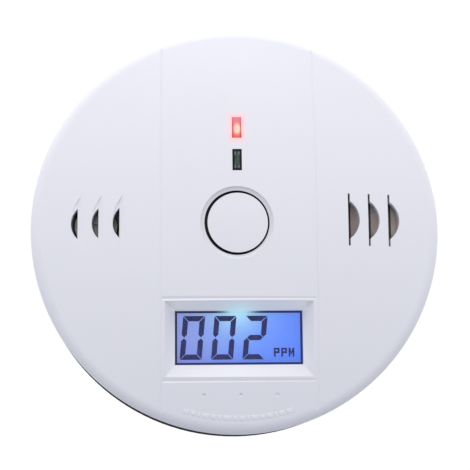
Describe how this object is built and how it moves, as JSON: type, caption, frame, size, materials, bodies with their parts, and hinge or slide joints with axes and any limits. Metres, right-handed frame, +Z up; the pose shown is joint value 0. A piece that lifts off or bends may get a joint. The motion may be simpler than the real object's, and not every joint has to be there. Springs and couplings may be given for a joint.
{
  "type": "carbon monoxide detector",
  "caption": "Round wall-mounted carbon monoxide detector: domed white cover, test button, indicator lights, digital display, sounder and sensor vents, twist-off wall plate.",
  "frame": {"origin": "centre of the two screw slots, on the wall plane (the back face of the mounting plate)", "axes": "+Z up the wall, +Y into the wall, so the front cover faces -Y, and +X to the right as seen from the front"},
  "size_m": [0.1, 0.0375, 0.1],
  "materials": {
    "cover_plastic": "semi-gloss bluish white ABS",
    "base_plastic": "fine-textured white ABS",
    "plate_plastic": "fine-textured white ABS",
    "button_plastic": "semi-gloss white ABS",
    "screw_steel": "zinc-plated steel",
    "board_laminate": "green solder mask",
    "display_glass": "clear polished glass",
    "polariser_film": "tinted film",
    "segment_ink": "dark liquid crystal",
    "seal_epoxy": "dark epoxy bead",
    "light_guide": "lit diffuser",
    "tray_plastic": "white moulding",
    "red_lens": "lit red epoxy lens",
    "green_lens": "unlit green epoxy lens",
    "backlight_emitter": "blue emitter package",
    "tinned_wire": "tinned copper",
    "black_plastic": "black moulding",
    "chip_black": "moulded epoxy package",
    "seal_rubber": "soft black rubber",
    "disc_brass": "rolled brass",
    "piezo_ceramic": "silvered ceramic",
    "sensor_metal": "nickel-plated can",
    "capacitor_sleeve": "printed sleeve and bare top",
    "ferrite": "sintered ferrite and winding",
    "crystal_case": "drawn steel case",
    "battery_jacket": "two-tone film label, bare steel ends",
    "spring_steel": "nickel-plated spring wire",
    "contact_steel": "nickel-plated strip",
    "red_insulation": "PVC insulation",
    "black_insulation": "PVC insulation"
  },
  "bodies": {
    "mounting_plate": {"mounting_plate": "plate_plastic"},
    "detector": {"alarm_led": "red_lens", "backlight_guide": "light_guide", "backlight_led": "backlight_emitter", "backlight_tray": "tray_plastic", "base_housing": "base_plastic", "battery_1": "battery_jacket", "battery_2": "battery_jacket", "battery_3": "battery_jacket", "battery_lead_black": "black_insulation", "battery_lead_red": "red_insulation", "battery_spring_1": "spring_steel", "battery_spring_2": "spring_steel", "battery_spring_3": "spring_steel", "board_screws": "screw_steel", "case_screws": "screw_steel", "chip_resistors": "chip_black", "circuit_board": "board_laminate", "clock_crystal": "crystal_case", "contact_link_lower": "contact_steel", "contact_link_upper": "contact_steel", "contact_negative": "contact_steel", "contact_positive": "contact_steel", "display_segments": "segment_ink", "front_cover": "cover_plastic", "gas_sensor_can": "sensor_metal", "gas_sensor_cap": "sensor_metal", "gas_sensor_pins": "tinned_wire", "lcd_front_glass": "display_glass", "lcd_front_polariser": "polariser_film", "lcd_pins": "tinned_wire", "lcd_rear_glass": "display_glass", "lcd_rear_polariser": "polariser_film", "lcd_seal": "seal_epoxy", "led_leads": "tinned_wire", "led_spacers": "black_plastic", "microcontroller": "chip_black", "microcontroller_legs": "tinned_wire", "piezo_ceramic": "piezo_ceramic", "piezo_contacts": "spring_steel", "piezo_disc": "disc_brass", "piezo_housing": "black_plastic", "power_led": "green_lens", "rim_seal": "seal_rubber", "sounder_coil": "ferrite", "sounder_guard": "black_plastic", "sounder_transistor": "chip_black", "supply_capacitor": "capacitor_sleeve", "test_switch_body": "black_plastic", "test_switch_legs": "tinned_wire"},
    "test_button": {"test_button": "button_plastic"},
    "switch_plunger": {"switch_plunger": "black_plastic"}
  },
  "joints": [
    {"name": "twist_off", "type": "hinge", "parent": "mounting_plate", "child": "detector", "pos_m": [0, 0, 0], "axis": [0, -1, 0], "range_deg": [0, 18]},
    {"name": "button_press", "type": "slide", "parent": "detector", "child": "test_button", "axis": [0, 1, 0], "range_m": [0, 0.00035], "stiffness_N_per_m": 800, "springref_m": -0.0012},
    {"name": "plunger_press", "type": "slide", "parent": "detector", "child": "switch_plunger", "axis": [0, 1, 0], "range_m": [0, 0.00035]}
  ],
  "couplings": [
    {"joint": "plunger_press", "follows": "button_press", "ratio": 1}
  ]
}
